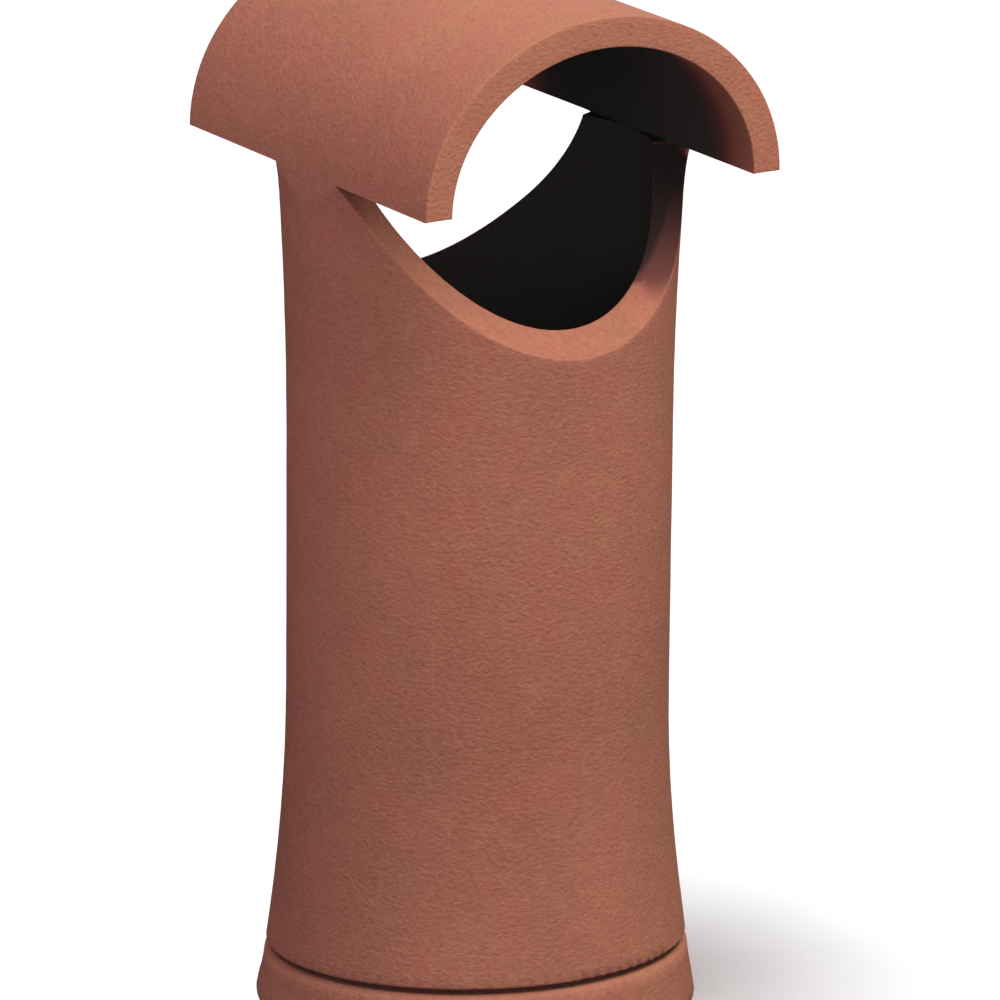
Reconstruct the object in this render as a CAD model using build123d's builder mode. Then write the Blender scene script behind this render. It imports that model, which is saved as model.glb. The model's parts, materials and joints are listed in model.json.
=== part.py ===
from build123d import *
import os
from math import asin, cos, degrees, hypot, radians, sin, sqrt, tan

# Clay chimney pot: a flared round tube that carries a half-barrel hood open at both ends. It stands
# on its foot at z = 0, with the tube's axis on Z. The hood runs along Y, and the tube is cut away
# below each end of the hood, so that the flue opens through two arched mouths. Sizes are in mm.

# Tube
flue_diameter = 200.0  # clear bore at the straight waist
tube_wall = 20.0
waist_bottom = 202.0  # height where the foot's flare has ended
waist_top = 375.0  # height where the wall starts to open out again
foot_flare_radius = 900.0  # of the wall's outline, seen from the side
foot_taper = 7.5  # degrees from vertical, of the straight run below the flare
foot_edge_radius = 1.5

# Groove turned round the foot
groove_height = 45.0  # middle of the slot
groove_slot = 3.5
groove_depth = 4.5
groove_bevel = 3.0  # the slope below the slot, at 45 degrees
groove_lip_radius = 2.0

# Top flare and neck, where the tube opens out to carry the hood's edges
top_flare_growth = 6.5  # from the waist's radius to half the hood's span
neck_height = 36.0
neck_swell = 5.0

# Hood
hood_edge_height = 547.0  # underside of the hood's long edges
hood_rise = 110.5  # from the long edges to the outside of the crown
hood_wall = 19.5
hood_length = 280.0
hood_end_radius = 1.2

# Mouths
front_mouth_depth = 104.5  # drop of the slanting cut, from the left leg out to the waist's radius
rear_mouth_depth = 113.0
left_leg_width = 64.0  # wall left standing at -X, where the cut meets the hood's edge
right_leg_flare = 64.0  # height below the hood's edge where the wider leg at +X leaves the slant
right_leg_width = 86.0  # of that leg, where its outline ends
cut_overrun = 12.0  # height of that end above the hood's edge
mouth_focus_drop = 6.0  # the cut faces point at the tube's axis, this far below the hood's edges
mouth_edge_radius = 1.2

# Worked out from the sizes above
tube_radius = flue_diameter / 2 + tube_wall
hood_half_span = tube_radius + top_flare_growth
hood_span = 2 * hood_half_span
foot_flare_growth = foot_flare_radius * (1 - cos(radians(foot_taper)))
foot_flare_bottom = waist_bottom - foot_flare_radius * sin(radians(foot_taper))
foot_slope = tan(radians(foot_taper))
foot_radius = tube_radius + foot_flare_growth + foot_flare_bottom * foot_slope
top_flare_height = hood_edge_height - waist_top
top_flare_radius = (top_flare_height**2 + top_flare_growth**2) / (2 * top_flare_growth)


def top_flare_point(height):
    """A point on the outside of the tube's top flare, at this height."""
    rise = height - waist_top
    return (tube_radius + top_flare_radius - sqrt(top_flare_radius**2 - rise**2), height)


def wall_line(offset, top_point):
    """The wall's side view from the foot to top_point, moved towards the axis by offset."""
    waist_radius = tube_radius - offset
    foot_run = Line(
        (foot_radius - offset, 0),
        (waist_radius + foot_flare_growth, foot_flare_bottom),
    )
    TangentArc(foot_run @ 1, (waist_radius, waist_bottom), tangent=foot_run % 1)
    waist = Line((waist_radius, waist_bottom), (waist_radius, waist_top))
    return TangentArc(waist @ 1, top_point, tangent=waist % 1)


def mouth_cutter(depth):
    """Cutter for a mouth at the -Y end: a cone that widens from a point on the tube's axis.

    On its slanting plane the cone's outline is the ellipse where the plane meets a cylinder of the
    waist's radius, and then an arc that leaves the ellipse to give the right leg its extra width.
    """
    slope = depth / (tube_radius - left_leg_width / 2)
    plane_rise = mouth_focus_drop + slope * left_leg_width / 2
    plane_stretch = hypot(1, slope)
    focus_height = hood_edge_height - mouth_focus_drop
    flare_out = left_leg_width / 2 + right_leg_flare / slope
    leg_out = right_leg_width / 2
    leg_across = sqrt(tube_radius**2 - leg_out**2)
    leg_reach = plane_rise / (mouth_focus_drop + cut_overrun + slope * leg_out)
    leg_end = Vector(leg_across, -leg_out * plane_stretch) * leg_reach
    past_hood = 2 * (mouth_focus_drop + slope * hood_half_span) / plane_rise
    with BuildPart() as cone:
        for reach in (0.5, past_hood):
            center = (0, 0, focus_height + reach * plane_rise)
            with BuildSketch(Plane(center, x_dir=(1, 0, 0), z_dir=(0, -slope, 1))):
                with BuildLine():
                    slant = EllipticalCenterArc(
                        (0, 0),
                        reach * tube_radius,
                        reach * tube_radius * plane_stretch,
                        start_angle=90,
                        arc_size=270 - degrees(asin(flare_out / tube_radius)),
                    )
                    leg = TangentArc(slant @ 1, leg_end * reach, tangent=slant % 1)
                    Line(leg @ 1, slant @ 0)
                make_face()
        loft(ruled=True)
    return cone.part


with BuildPart() as chimney_pot:
    # Tube, with the neck on its outside only
    with BuildSketch(Plane.XZ):
        with BuildLine():
            outside = wall_line(0, top_flare_point(hood_edge_height - neck_height))
            neck = TangentArc(
                outside @ 1,
                (hood_half_span + neck_swell, hood_edge_height),
                tangent=outside % 1,
            )
            inside = wall_line(tube_wall, (hood_half_span - tube_wall, hood_edge_height))
            Line(neck @ 1, inside @ 1)
            Line((foot_radius, 0), (foot_radius - tube_wall, 0))
        make_face()
    revolve(axis=Axis.Z)

    # Mouths
    add(mouth_cutter(front_mouth_depth), mode=Mode.SUBTRACT)
    rear_cutter = mirror(mouth_cutter(rear_mouth_depth), about=Plane.XZ, mode=Mode.PRIVATE)
    add(rear_cutter, mode=Mode.SUBTRACT)
    cut_edges = chimney_pot.edges().filter_by(GeomType.BSPLINE)
    fillet(
        cut_edges.filter_by_position(Axis.Z, 0, hood_edge_height - mouth_edge_radius),
        radius=mouth_edge_radius,
    )

    # The neck is dressed flush with the hood's sides
    for side in (-1, 1):
        with Locations((side * (hood_half_span + 2 * neck_swell), 0, hood_edge_height)):
            Box(4 * neck_swell, hood_span, 2 * neck_height, mode=Mode.SUBTRACT)

    # Hood
    with BuildSketch(Plane.XZ):
        with Locations((0, hood_edge_height)):
            Ellipse(hood_half_span, hood_rise)
            Ellipse(hood_half_span - hood_wall, hood_rise - hood_wall, mode=Mode.SUBTRACT)
            Rectangle(
                hood_span,
                hood_rise,
                align=(Align.CENTER, Align.MAX),
                mode=Mode.SUBTRACT,
            )
    extrude(amount=hood_length / 2, both=True)
    fillet(
        chimney_pot.edges().group_by(Axis.Y)[0] + chimney_pot.edges().group_by(Axis.Y)[-1],
        radius=hood_end_radius,
    )

    # Groove round the foot, and the rounding of its lip
    groove_radius = foot_radius - groove_height * foot_slope
    slot_top = groove_height + groove_slot / 2
    slot_bottom = groove_height - groove_slot / 2
    past_wall = 2 * groove_depth
    with BuildSketch(Plane.XZ):
        with BuildLine():
            Polyline(
                (groove_radius - groove_depth, slot_bottom),
                (groove_radius - groove_bevel, slot_bottom),
                (groove_radius + past_wall, slot_bottom - groove_bevel - past_wall),
                (groove_radius + past_wall, slot_top),
                (groove_radius - groove_depth, slot_top),
                close=True,
            )
        make_face()
    revolve(axis=Axis.Z, mode=Mode.SUBTRACT)
    rims = chimney_pot.edges().filter_by(GeomType.CIRCLE)
    lip = rims.filter_by_position(Axis.Z, slot_top - 0.1, slot_top + 0.1).sort_by(SortBy.RADIUS)[-1]
    fillet(lip, radius=groove_lip_radius)

    # Foot
    foot_rims = chimney_pot.faces().sort_by(Axis.Z)[0].edges()
    fillet(foot_rims.sort_by(SortBy.RADIUS)[-1], radius=foot_edge_radius)

chimney_pot.part.label = "chimney_pot"
os.makedirs("parts", exist_ok=True)
export_step(chimney_pot.part, "parts/chimney_pot.step")
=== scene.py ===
import json
from math import cos, radians, sin

import bmesh
import bpy
import numpy as np
from mathutils import Matrix, Vector, noise


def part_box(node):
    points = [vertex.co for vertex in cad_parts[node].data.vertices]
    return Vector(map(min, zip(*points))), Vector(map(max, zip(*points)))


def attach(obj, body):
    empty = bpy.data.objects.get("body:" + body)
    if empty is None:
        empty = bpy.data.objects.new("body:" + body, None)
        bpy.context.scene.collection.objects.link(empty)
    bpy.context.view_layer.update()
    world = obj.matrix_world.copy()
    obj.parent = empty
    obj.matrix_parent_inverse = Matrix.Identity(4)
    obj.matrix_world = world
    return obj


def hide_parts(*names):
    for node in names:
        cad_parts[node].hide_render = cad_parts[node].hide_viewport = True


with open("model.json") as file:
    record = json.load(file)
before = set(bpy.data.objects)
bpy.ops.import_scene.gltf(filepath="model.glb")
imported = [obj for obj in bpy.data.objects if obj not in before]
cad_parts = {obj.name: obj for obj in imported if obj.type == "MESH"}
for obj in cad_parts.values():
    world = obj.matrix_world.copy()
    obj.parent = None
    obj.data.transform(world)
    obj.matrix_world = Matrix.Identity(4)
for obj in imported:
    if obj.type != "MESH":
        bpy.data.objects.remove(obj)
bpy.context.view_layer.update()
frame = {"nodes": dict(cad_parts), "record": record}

NODE = "chimney_pot"
LO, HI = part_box(NODE)
RECORD = frame["record"]
MM = 0.001

# Sizes of the pot, in metres. Heights are measured from the ground, and x is to the right.
FLUE_RADIUS = next(m["dims"]["r_mm"] for m in RECORD["mounts"] if m["name"] == "flue") * MM
WALL = 20 * MM
TUBE_RADIUS = FLUE_RADIUS + WALL
TOP_FLARE = 6.5 * MM  # how much the tube's radius grows towards the hood
WAIST_BOTTOM = 202 * MM
WAIST_TOP = 375 * MM
CROWN = HI.z
HOOD_RISE = 110.5 * MM
HOOD_EDGE = CROWN - HOOD_RISE  # height of the hood's lower edges
HOOD_HALF_LENGTH = HI.y
HOOD_HALF_SPAN = TUBE_RADIUS + TOP_FLARE
MOUTH_LOW = HOOD_EDGE - 115 * MM  # just under the lower of the two mouths
GROOVE = 45 * MM
GROOVE_HALF_SLOT = 1.75 * MM
GROOVE_BEVEL = 3 * MM

# How finely the mesh is cut
WELD = 0.01 * MM
SPLIT_ROUNDS = 7
EDGE_SHOWN = 8 * MM
EDGE_SHADOWED = 4 * MM
EDGE_IN_FLUE = 16 * MM
SHARP_ANGLE = radians(26)

# How uneven the potter's hand has left the clay: depth, and waves for each metre
BROAD_HOLLOWS = 0.42 * MM
BROAD_WAVES = 9
BROAD_SHIFT = Vector((3.1, 7.7, 1.3))  # moves the broad hollows off the other waves
TURNING_RINGS = 0.22 * MM
RING_WAVES_ROUND = 6
RING_WAVES_UP = 34
SMALL_DENTS = 0.06 * MM
SMALL_WAVES = 55
UNDERSIDE = 0.5 * MM  # clay lower than this stays flat on the ground

# The groove runs lower than in the CAD model, and climbs again towards two sides
GROOVE_DROP = 9.6 * MM
GROOVE_LIFT_FRONT = 8.8 * MM
GROOVE_LIFT_RIGHT = 3.2 * MM
FRONT_LEFT = Vector((-0.534, -0.846))
FRONT_RIGHT = Vector((0.846, -0.534))
GROOVE_REACH = 10 * MM  # clay this close to the groove keeps the groove's shape

# Painted shade inside the pot: where the dark of the inside starts and where it is full
INSIDE_SHADE_FULL = 0.8
FACING_IN = (0.35, 0.75)
RIGHT_WALL = (0.35, 0.95)
FLUE_FADE = (-60 * MM, 120 * MM)  # heights
HOOD_TOP_FADE = (-14 * MM, 30 * MM)  # distances from the hood's end, under the crown
HOOD_RIGHT_FADE = (2 * MM, 60 * MM)  # and inside the right wall, which stays lighter
LIP_WIDTH = 1.5 * MM
LIP_HEIGHT = 1.5 * MM
LIP_UNDER = 0.5 * MM
LIP_SHADE_TOP = 4 * MM
BEYOND_TUBE = 2 * MM

# The painted shadow of the hood on the cut faces of the right leg
LEG_SIDE = 60 * MM  # the mesh is finer to the right of this
LEG_FADE = (50 * MM, 66 * MM)
CUT_FACE = (0.75, 0.45)  # how far a face may look out, or in, before it counts as cut
LEG_SHADOW_FOOT = 460 * MM
LEG_SHADOW_CLIMB = 66 * MM
LEG_SHADOW_LIMIT = 1 * MM  # nothing further out than this beyond the tube gets the painted shadow
BLACK_RISE = (455 * MM, 535 * MM)  # heights between which the black widens
BLACK_WIDTH = 0.75  # share of the wall that is black at the top
BLACK_SOFT = (-0.3, 0.2)
BLACK_CLIMB = 4  # the black comes in this many times faster than the plum


# ---------------------------------------------------------------- mesh

def pot_mesh():
    """A fine copy of the CAD node's mesh, with short edges everywhere, ready to be worked over."""
    mesh = frame["nodes"][NODE].data.copy()
    mesh.name = "pot_clay"
    mesh.materials.clear()
    bm = bmesh.new()
    bm.from_mesh(mesh)
    bmesh.ops.remove_doubles(bm, verts=bm.verts, dist=WELD)
    bmesh.ops.dissolve_degenerate(bm, edges=bm.edges, dist=WELD)
    for _ in range(SPLIT_ROUNDS):
        long_edges = [e for e in bm.edges if e.calc_length() > edge_limit(e)]
        if not long_edges:
            break
        for edge in long_edges:
            ends = [v.co.copy() for v in edge.verts]
            _, middle = bmesh.utils.edge_split(edge, edge.verts[0], 0.5)
            middle.co = on_surface(*ends)
        ngons = [f for f in bm.faces if len(f.verts) > 3]
        bmesh.ops.triangulate(bm, faces=ngons, quad_method="SHORT_EDGE")
    bmesh.ops.recalc_face_normals(bm, faces=bm.faces)
    bm.to_mesh(mesh)
    bm.free()
    return mesh


def edge_limit(edge):
    """Edges are shortest on the leg with the painted shadow, short where the surface shows, longer in
    the flue.
    """
    middle = (edge.verts[0].co + edge.verts[1].co) / 2
    if middle.xy.length < TUBE_RADIUS - WALL / 2 and middle.z < MOUTH_LOW:
        return EDGE_IN_FLUE
    by_mouth = MOUTH_LOW < middle.z < HOOD_EDGE
    if middle.x > LEG_SIDE and by_mouth and not on_tube(edge):
        return EDGE_SHADOWED
    return EDGE_SHOWN


def on_tube(edge):
    """Whether both ends of an edge lie on the outside, or both on the inside, of the tube's wall."""
    close = 0.05
    depths = [(TUBE_RADIUS - v.co.xy.length) / WALL for v in edge.verts]
    return max(depths) < close or min(depths) > 1 - close


def on_surface(start, end):
    """The middle of an edge, moved out to the round surface that its two ends lie on."""
    close = 0.02 * MM
    just_under = 0.05 * MM
    middle = (start + end) / 2
    if min(start.z, end.z) > HOOD_EDGE - just_under:
        ratio = HOOD_RISE / HOOD_HALF_SPAN
        low = Vector((start.x * ratio, start.z - HOOD_EDGE))
        high = Vector((end.x * ratio, end.z - HOOD_EDGE))
        turned = rounded(low, high)
        return Vector((turned.x / ratio, middle.y, HOOD_EDGE + turned.y))
    trimmed = min(abs(start.x), abs(end.x)) > HOOD_HALF_SPAN - close and middle.z > WAIST_TOP
    if trimmed and abs(start.x - end.x) < close:
        return middle
    turned = rounded(start.xy, end.xy)
    return Vector((turned.x, turned.y, middle.z))


def rounded(a, b):
    """Halfway from a to b round the origin, at the mean of their distances from it."""
    half = (a + b) / 2
    if half.length < 0.5 * min(a.length, b.length):
        return half
    return half.normalized() * (a.length + b.length) / 2


def smoothstep(low, high, value):
    t = min(max((value - low) / (high - low), 0.0), 1.0)
    return t * t * (3 - 2 * t)


def hand_work(point):
    """How far the clay stands back from its true outline here: wide, shallow hollows."""
    broad = noise.noise(point * BROAD_WAVES + BROAD_SHIFT)
    ring_point = (point.x * RING_WAVES_ROUND, point.y * RING_WAVES_ROUND, point.z * RING_WAVES_UP)
    ring = noise.noise(Vector(ring_point))
    small = noise.noise(point * SMALL_WAVES)
    return (BROAD_HOLLOWS * (broad + 1) + TURNING_RINGS * (ring + 1) + SMALL_DENTS * (small + 1)) / 2


def groove_shift(point):
    """How far up, or down where negative, the clay round the groove is moved to bring it in place."""
    below = smoothstep(0.0, GROOVE - GROOVE_REACH, point.z)
    above = smoothstep(GROOVE + GROOVE_REACH, WAIST_BOTTOM, point.z)
    side = point.xy.normalized()
    lift_front = GROOVE_LIFT_FRONT * max(side.dot(FRONT_LEFT), 0.0)
    lift_right = GROOVE_LIFT_RIGHT * side.dot(FRONT_RIGHT)
    return below * (1 - above) * (lift_front + lift_right - GROOVE_DROP)


def facing_in(normal, outward):
    """1 where the surface looks back towards the middle of the pot, 0 where it looks out."""
    return smoothstep(*FACING_IN, -normal.dot(outward))


def inside_shade_level(point, normal):
    """How much painted shade darkens the clay here, from 0 on the outside to the full inside share in
    the pot.
    """
    by_inner_wall = abs(point.x) < HOOD_HALF_SPAN - WALL + LIP_WIDTH
    inner_lip = by_inner_wall and point.z > HOOD_EDGE - LIP_UNDER
    if inner_lip or point.z > HOOD_EDGE + LIP_HEIGHT:
        on_lip = inner_lip and point.z < HOOD_EDGE + LIP_SHADE_TOP
        return INSIDE_SHADE_FULL * hood_inside_shade(point, normal, on_lip)
    return INSIDE_SHADE_FULL * flue_inside_shade(point, normal)


def hood_inside_shade(point, normal, on_lip):
    """The share of painted shade inside the hood, which fades towards its open ends."""
    arch = Vector((point.x, 0, point.z - HOOD_EDGE)).normalized()
    faces_in = 1.0 if on_lip else facing_in(normal, arch)
    right = smoothstep(*RIGHT_WALL, arch.x)
    start, full = [top + right * (side - top) for top, side in zip(HOOD_TOP_FADE, HOOD_RIGHT_FADE)]
    return faces_in * smoothstep(start, full, HOOD_HALF_LENGTH - abs(point.y))


def flue_inside_shade(point, normal):
    """The share of painted shade inside the tube, which fades towards the foot."""
    across = Vector((point.x, point.y, 0)).normalized()
    beyond_radius = point.xy.length > HOOD_HALF_SPAN + BEYOND_TUBE
    beyond_tube = beyond_radius or abs(point.y) > HOOD_HALF_LENGTH - BEYOND_TUBE
    if beyond_tube and point.z >= WAIST_BOTTOM:
        return 0.0
    return facing_in(normal, across) * smoothstep(*FLUE_FADE, point.z)


def leg_shadow_level(point, normal):
    """How dark the painted shadow of the hood makes the cut faces of the right leg, from 0 low down
    to 1 at the hood.
    """
    if not MOUTH_LOW < point.z < HOOD_EDGE - LIP_UNDER or point.x < 0:
        return 0.0
    if point.xy.length > HOOD_HALF_SPAN + LEG_SHADOW_LIMIT:
        return 0.0
    across = Vector((point.x, point.y, 0)).normalized()
    on_cut = smoothstep(*CUT_FACE, abs(normal.dot(across)))
    right = smoothstep(*LEG_FADE, point.x)
    climb = min(max((point.z - LEG_SHADOW_FOOT) / LEG_SHADOW_CLIMB, 0.0), 1.0)
    flare = TOP_FLARE * max((point.z - WAIST_TOP) / (HOOD_EDGE - WAIST_TOP), 0.0) ** 2
    depth = (TUBE_RADIUS + flare - point.xy.length) / WALL
    black_from = 1 - BLACK_WIDTH * smoothstep(*BLACK_RISE, point.z)
    black = smoothstep(black_from + BLACK_SOFT[0], black_from + BLACK_SOFT[1], depth)
    return on_cut * right * max(climb, black * min(climb * BLACK_CLIMB, 1.0))


def worked_point(point, normal):
    """Where this point of the true outline lies in the hand-worked clay, inside the CAD box."""
    outside = point.xy.length > TUBE_RADIUS - WALL / 2
    by_groove = outside and abs(point.z - GROOVE) < GROOVE_REACH
    outward = point.xy.normalized().to_3d() if by_groove else normal
    moved = point - outward * hand_work(point)
    moved.z += groove_shift(point)
    return [min(max(value, low), high) for value, low, high in zip(moved, LO, HI)]


def read_vectors(mesh, name):
    values = np.empty(len(mesh.vertices) * 3)
    mesh.vertices.foreach_get(name, values)
    return values.reshape(-1, 3)


def work_clay(mesh):
    """Moves each vertex to its hand-worked place, and notes its painted shade and its first height.
    """
    co = read_vectors(mesh, "co")
    normals = read_vectors(mesh, "normal")
    count = len(co)
    notes = {"inside_shade": np.zeros(count), "leg_shadow": np.zeros(count), "level": np.zeros(count)}
    for i in range(count):
        point = Vector(co[i])
        normal = Vector(normals[i])
        # Painted shade inside the pot and hood
        notes["inside_shade"][i] = inside_shade_level(point, normal)
        # Painted shadow of the hood on the right leg's cut faces
        notes["leg_shadow"][i] = leg_shadow_level(point, normal)
        notes["level"][i] = point.z
        if point.z >= UNDERSIDE:
            co[i] = worked_point(point, normal)
    for name, values in notes.items():
        mesh.attributes.new(name, "FLOAT", "POINT").data.foreach_set("value", values)
    mesh.vertices.foreach_set("co", co.ravel())
    mesh.update()


def make_pot(material):
    mesh = pot_mesh()
    work_clay(mesh)
    mesh.shade_smooth()
    mesh.materials.append(material)
    pot = bpy.data.objects.new("pot_clay", mesh)
    bpy.context.scene.collection.objects.link(pot)
    mesh.set_sharp_from_angle(angle=SHARP_ANGLE)
    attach(pot, "root")
    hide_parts(NODE)
    return pot


# ------------------------------------------------------------ material

class Nodes:
    """Short ways to add shader nodes to one tree."""

    MIX_LOWER, MIX_UPPER, MIX_RESULT = 6, 7, 2  # the colour sockets of a Mix node

    def __init__(self, tree):
        self.tree = tree

    def add(self, kind, **settings):
        node = self.tree.nodes.new(kind)
        for name, value in settings.items():
            setattr(node, name, value)
        return node

    def link(self, out, into):
        self.tree.links.new(out, into)

    def feed(self, socket, value):
        if isinstance(value, bpy.types.NodeSocket):
            self.link(value, socket)
        else:
            socket.default_value = value

    def math(self, operation, a, b):
        node = self.add("ShaderNodeMath", operation=operation)
        self.feed(node.inputs[0], a)
        self.feed(node.inputs[1], b)
        return node.outputs[0]

    def times(self, a, b):
        return self.math("MULTIPLY", a, b)

    def ramp(self, value, low, high):
        """0 at low, 1 at high, smooth between."""
        node = self.add("ShaderNodeMapRange", interpolation_type="SMOOTHSTEP")
        self.feed(node.inputs["Value"], value)
        node.inputs["From Min"].default_value = low
        node.inputs["From Max"].default_value = high
        return node.outputs["Result"]

    def noise(self, coords, scale, detail, roughness, distortion=0.0):
        node = self.add("ShaderNodeTexNoise")
        self.link(coords, node.inputs["Vector"])
        node.inputs["Scale"].default_value = scale
        node.inputs["Detail"].default_value = detail
        node.inputs["Roughness"].default_value = roughness
        node.inputs["Distortion"].default_value = distortion
        return node.outputs["Fac"]

    def mix(self, factor, lower, upper):
        node = self.add("ShaderNodeMix", data_type="RGBA")
        self.feed(node.inputs["Factor"], factor)
        self.feed(node.inputs[self.MIX_LOWER], lower)
        self.feed(node.inputs[self.MIX_UPPER], upper)
        return node.outputs[self.MIX_RESULT]

    def lay(self, colour, upper, mask, strength):
        """The colour with another laid over it, where the mask is 1, at this strength."""
        return self.mix(self.times(mask, strength), colour, upper)

    def attribute(self, name):
        return self.add("ShaderNodeAttribute", attribute_name=name).outputs["Fac"]


CLAY = (0.42, 0.164, 0.102, 1)
CLAY_PALE = (0.50, 0.225, 0.135, 1)
CLAY_DEEP = (0.36, 0.140, 0.090, 1)
CLAY_RED = (0.415, 0.138, 0.097, 1)
INSIDE_SHADE_PLUM = (0.21, 0.062, 0.058, 1)
PALE_GRAIN_AND_HIGHLIGHT = (0.58, 0.28, 0.17, 1)
PIT_DARK = (0.22, 0.080, 0.055, 1)
GROOVE_PAINTED_SHADE = (0.075, 0.030, 0.022, 1)
INSIDE_SHADE_DARK = (0.058, 0.055, 0.049, 1)
LEG_SHADOW_PLUM = (0.147, 0.047, 0.041, 1)
LEG_SHADOW_DARK = (0.028, 0.017, 0.016, 1)

# Noise in the clay: scale, detail, roughness, and distortion where there is some
CLOUDS = (6.0, 3.0, 0.5, 0.3)
PATCHES = (24.0, 3.0, 0.55)
MOTTLE = (90.0, 4.0, 0.6)
GRAIN = (300.0, 2.5, 0.55)
TOOTH = (900.0, 2.0, 0.5)
GRAIN_FLATTENED = 1.45  # the grain is this much wider than it is high
GRAIN_SHARE, TOOTH_SHARE = 0.85, 0.15  # of the bumps
CLAY_ROUGHNESS, MOTTLED_ROUGHNESS = 0.74, 0.18
CLAY_SPECULAR = 0.22
BUMP_STRENGTH = 0.8
BUMP_DEPTH = 1.0 * MM


def fired_clay(n, coords, mottle, grain):
    """Colour of the clay: broad clouds, patches a few centimetres wide, and grain by grain."""
    clouds = n.noise(coords, *CLOUDS)
    patches = n.noise(coords, *PATCHES)
    colour = n.mix(n.ramp(clouds, 0.32, 0.68), CLAY_DEEP, CLAY)
    colour = n.lay(colour, CLAY_RED, n.ramp(patches, 0.40, 0.66), 0.60)
    colour = n.lay(colour, CLAY_PALE, n.ramp(mottle, 0.45, 0.75), 0.25)
    colour = n.lay(colour, PALE_GRAIN_AND_HIGHLIGHT, n.ramp(grain, 0.52, 0.72), 0.20)
    return n.lay(colour, PIT_DARK, n.ramp(grain, 0.46, 0.30), 0.30)


def wear_and_painted_groove_shading(n, colour):
    """Rubbed, paler edges, a faint painted highlight on the groove's lower edge, and painted shade in
    its slot.
    """
    pointiness = n.add("ShaderNodeNewGeometry").outputs["Pointiness"]
    colour = n.lay(colour, CLAY_PALE, n.ramp(pointiness, 0.52, 0.62), 0.35)
    level = n.attribute("level")
    slot_low, slot_high = GROOVE - GROOVE_HALF_SLOT, GROOVE + GROOVE_HALF_SLOT
    # Painted highlight: a faint pale line on the groove's lower edge, where the bevel would catch the
    # light.
    arris = slot_low - GROOVE_BEVEL
    over_arris = n.ramp(level, arris - 1.4 * MM, arris - 0.2 * MM)
    under_slot = n.ramp(level, slot_low - 0.4 * MM, slot_low - 1.6 * MM)
    colour = n.lay(colour, PALE_GRAIN_AND_HIGHLIGHT, n.times(over_arris, under_slot), 0.05)
    # Painted shade: the groove's slot is darkened as if shaded by the lip above it.
    over_slot_floor = n.ramp(level, slot_low - 0.5 * MM, slot_low + 0.3 * MM)
    under_slot_roof = n.ramp(level, slot_high + 1.1 * MM, slot_high - 0.2 * MM)
    return n.lay(colour, GROOVE_PAINTED_SHADE, n.times(over_slot_floor, under_slot_roof), 0.92)


def painted_shade_colours(n, colour):
    """Painted shade: plum brown where it is thin, charcoal where it is thick, and the painted shadow
    near black on the right leg.
    """
    inside_shade = n.attribute("inside_shade")
    # Painted shade inside the pot and hood: plum, then charcoal
    colour = n.mix(n.ramp(inside_shade, 0.0, 0.50), colour, INSIDE_SHADE_PLUM)
    colour = n.mix(n.ramp(inside_shade, 0.30, 0.80), colour, INSIDE_SHADE_DARK)
    # Painted shadow of the hood on the right leg's cut faces: plum, then near black
    leg_shadow = n.attribute("leg_shadow")
    colour = n.mix(n.ramp(leg_shadow, 0.0, 0.28), colour, LEG_SHADOW_PLUM)
    return n.mix(n.ramp(leg_shadow, 0.25, 1.0), colour, LEG_SHADOW_DARK)


def terracotta():
    material = bpy.data.materials.new("terracotta_clay")
    material.use_nodes = True
    tree = material.node_tree
    tree.nodes.clear()
    n = Nodes(tree)
    output = n.add("ShaderNodeOutputMaterial")
    shader = n.add("ShaderNodeBsdfPrincipled")
    n.link(shader.outputs[0], output.inputs["Surface"])
    coords = n.add("ShaderNodeTexCoord").outputs["Object"]

    wiped = n.add("ShaderNodeVectorMath", operation="MULTIPLY")
    n.link(coords, wiped.inputs[0])
    wiped.inputs[1].default_value = (1.0, 1.0, GRAIN_FLATTENED)
    mottle = n.noise(coords, *MOTTLE)
    grain = n.noise(wiped.outputs[0], *GRAIN)
    tooth = n.noise(coords, *TOOTH)

    colour = painted_shade_colours(n, wear_and_painted_groove_shading(n, fired_clay(n, coords, mottle, grain)))
    n.link(colour, shader.inputs["Base Color"])

    # Matt surface, with the mottling in its roughness
    roughness = n.math("ADD", n.times(mottle, MOTTLED_ROUGHNESS), CLAY_ROUGHNESS)
    n.link(roughness, shader.inputs["Roughness"])
    shader.inputs["Specular IOR Level"].default_value = CLAY_SPECULAR

    # Sandy grain like orange peel, over finer tooth
    height = n.math("ADD", n.times(grain, GRAIN_SHARE), n.times(tooth, TOOTH_SHARE))
    bump = n.add("ShaderNodeBump")
    bump.inputs["Strength"].default_value = BUMP_STRENGTH
    bump.inputs["Distance"].default_value = BUMP_DEPTH
    n.link(height, bump.inputs["Height"])
    n.link(bump.outputs[0], shader.inputs["Normal"])
    return material


# --------------------------------------------------------------- stage

FLOOR_HALF = 12.0
PAPER = (0.86, 0.86, 0.86, 1)
WHITE = (1, 1, 1, 1)
PAPER_ROUGHNESS = 0.9
PAPER_GLOW = 0.38  # keeps the floor's shadow pale
FILL_TINT = (1.0, 0.92, 0.98, 1)
FILL_STRENGTH = 0.08
BACKDROP_STRENGTH = 1.05
LAMP_TARGET = Vector((0, 0, CROWN * 0.6))

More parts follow.
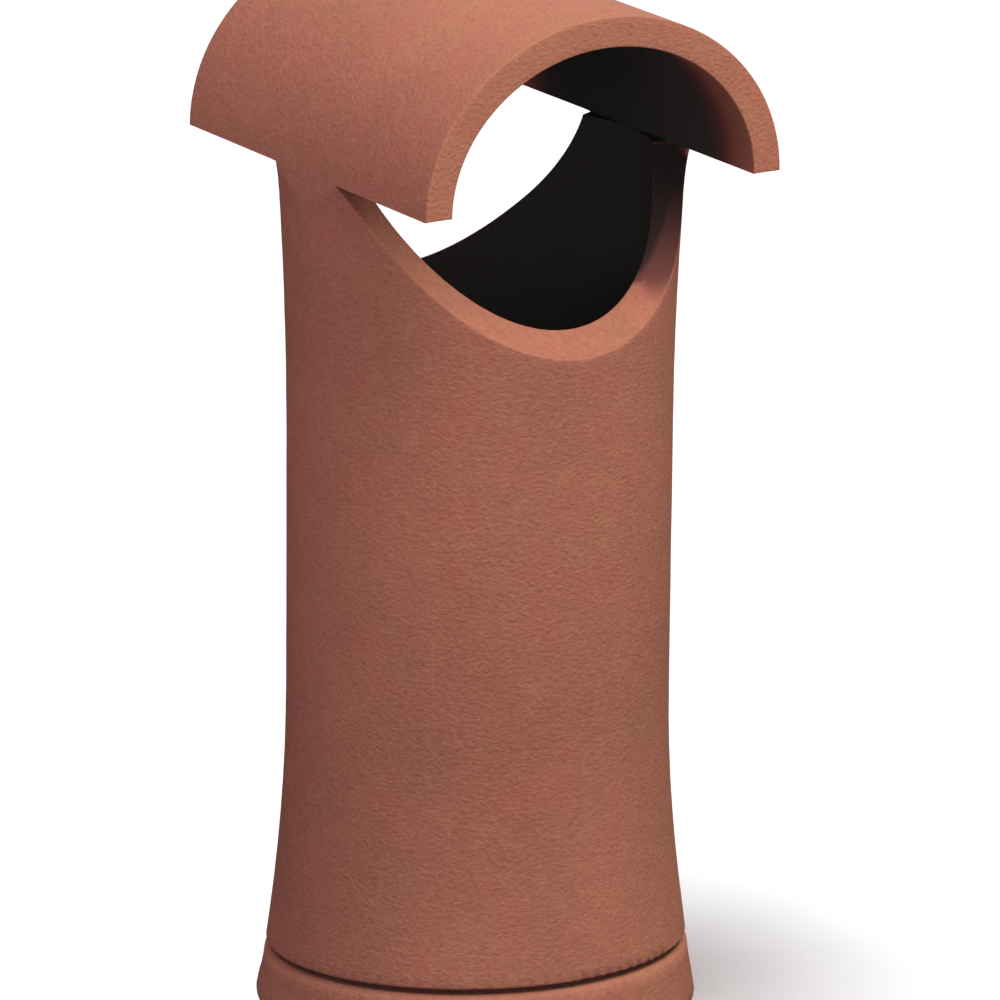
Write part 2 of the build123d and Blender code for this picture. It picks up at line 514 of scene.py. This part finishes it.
# Name, azimuth and elevation in degrees, distance and size in metres, watts, colour
LAMPS = (
    ("key", 12, 58, 2.6, 2.2, 78, (1.0, 0.99, 0.89)),
    ("left_fill", -97, 30, 1.8, 1.3, 10, (1.0, 0.82, 0.98)),
    ("low_left_fill", -50, 3, 3.0, 2.0, 21, (1.0, 0.90, 0.96)),
    ("front_fill", 10, 12, 3.0, 2.0, 14, (1.0, 0.90, 0.93)),
    ("right_fill", 70, 25, 3.0, 2.0, 11, (1.0, 0.97, 0.97)),
    ("back_fill", 150, 35, 3.0, 2.2, 30, (1.0, 0.96, 0.94)),
)
SUN_AZIMUTH = -100
SUN_ELEVATION = 80
SUN_DISTANCE = 4.0
SUN_STRENGTH = 2.65
SUN_SPREAD = radians(22)


def paper():
    """White paper that glows a little of its own."""
    material = bpy.data.materials.new("floor_paper")
    material.use_nodes = True
    shader = material.node_tree.nodes["Principled BSDF"]
    shader.inputs["Base Color"].default_value = PAPER
    shader.inputs["Roughness"].default_value = PAPER_ROUGHNESS
    shader.inputs["Specular IOR Level"].default_value = 0.0
    shader.inputs["Emission Color"].default_value = WHITE
    shader.inputs["Emission Strength"].default_value = PAPER_GLOW
    return material


def make_floor():
    """A wide floor that takes the pot's shadow and throws no light back on the pot."""
    half = FLOOR_HALF
    mesh = bpy.data.meshes.new("floor")
    corners = [(-half, -half, 0), (half, -half, 0), (half, half, 0), (-half, half, 0)]
    mesh.from_pydata(corners, [], [(0, 1, 2, 3)])
    mesh.materials.append(paper())
    floor = bpy.data.objects.new("floor", mesh)
    bpy.context.scene.collection.objects.link(floor)
    floor.visible_diffuse = False
    floor.visible_glossy = False
    return floor


def make_world():
    """A white backdrop for the camera, and a dim fill for everything else."""
    world = bpy.data.worlds.new("studio")
    world.use_nodes = True
    bpy.context.scene.world = world
    tree = world.node_tree
    tree.nodes.clear()
    n = Nodes(tree)
    output = n.add("ShaderNodeOutputWorld")
    fill = n.add("ShaderNodeBackground")
    fill.inputs["Color"].default_value = FILL_TINT
    fill.inputs["Strength"].default_value = FILL_STRENGTH
    backdrop = n.add("ShaderNodeBackground")
    backdrop.inputs["Color"].default_value = WHITE
    backdrop.inputs["Strength"].default_value = BACKDROP_STRENGTH
    mix = n.add("ShaderNodeMixShader")
    n.link(n.add("ShaderNodeLightPath").outputs["Is Camera Ray"], mix.inputs[0])
    n.link(fill.outputs[0], mix.inputs[1])
    n.link(backdrop.outputs[0], mix.inputs[2])
    n.link(mix.outputs[0], output.inputs["Surface"])


def towards(azimuth, elevation):
    """The direction from the pot to this side; azimuth 0 is the front, and 90 the right."""
    a, e = radians(azimuth), radians(elevation)
    return Vector((sin(a) * cos(e), -cos(a) * cos(e), sin(e)))


def place_lamp(data, azimuth, elevation, distance, target, lit):
    """Sets a lamp to look at target from this side, and lets it light one object alone."""
    lamp = bpy.data.objects.new(data.name, data)
    lamp.rotation_mode = "QUATERNION"
    back = towards(azimuth, elevation)
    lamp.location = target + back * distance
    lamp.rotation_quaternion = back.to_track_quat("Z", "Y")
    bpy.context.scene.collection.objects.link(lamp)
    group = bpy.data.collections.new(lamp.name + "_lights")
    group.objects.link(lit)
    lamp.light_linking.receiver_collection = group


def soft_light(name, azimuth, elevation, distance, size, power, colour, lit):
    data = bpy.data.lights.new(name, "AREA")
    data.shape = "DISK"
    data.size = size
    data.energy = power
    data.color = colour
    place_lamp(data, azimuth, elevation, distance, LAMP_TARGET, lit)


def floor_sun(floor):
    """A broad sun for the floor alone, high and a little to the left, to lay the pot's shadow."""
    data = bpy.data.lights.new("floor_sun", "SUN")
    data.energy = SUN_STRENGTH
    data.angle = SUN_SPREAD
    place_lamp(data, SUN_AZIMUTH, SUN_ELEVATION, SUN_DISTANCE, Vector((0, 0, 0)), floor)


def make_lights(pot, floor):
    for lamp in LAMPS:
        soft_light(*lamp, lit=pot)
    floor_sun(floor)


# -------------------------------------------------------------- camera

CAMERA_AZIMUTH = -32.25
CAMERA_ELEVATION = 16.72
CAMERA_ROLL = 0.50
CAMERA_DISTANCE = 5.0
CAMERA_TARGET_HEIGHT = 0.3216
CAMERA_TARGET_RIGHT = 0.01305
SENSOR_WIDTH = 36.0
FOCAL_RATIO = 8.0552  # focal length over the sensor's width
CLIP_END = 100.0


def make_camera():
    a, r = radians(CAMERA_AZIMUTH), radians(CAMERA_ROLL)
    back = towards(CAMERA_AZIMUTH, CAMERA_ELEVATION)
    right = Vector((cos(a), sin(a), 0))
    up = back.cross(right)
    target = Vector((0, 0, CAMERA_TARGET_HEIGHT)) + right * CAMERA_TARGET_RIGHT
    place = target + back * CAMERA_DISTANCE
    rolled_right = right * cos(r) + up * sin(r)
    rolled_up = up * cos(r) - right * sin(r)
    data = bpy.data.cameras.new("camera")
    data.sensor_width = SENSOR_WIDTH
    data.lens = SENSOR_WIDTH * FOCAL_RATIO
    data.clip_end = CLIP_END
    camera = bpy.data.objects.new("camera", data)
    turn = Matrix((rolled_right, rolled_up, back)).transposed()
    camera.matrix_world = Matrix.Translation(place) @ turn.to_4x4()
    bpy.context.scene.collection.objects.link(camera)
    bpy.context.scene.camera = camera


make_camera()
pot = make_pot(terracotta())
floor = make_floor()
make_world()
make_lights(pot, floor)
bpy.context.scene.view_settings.view_transform = "Standard"
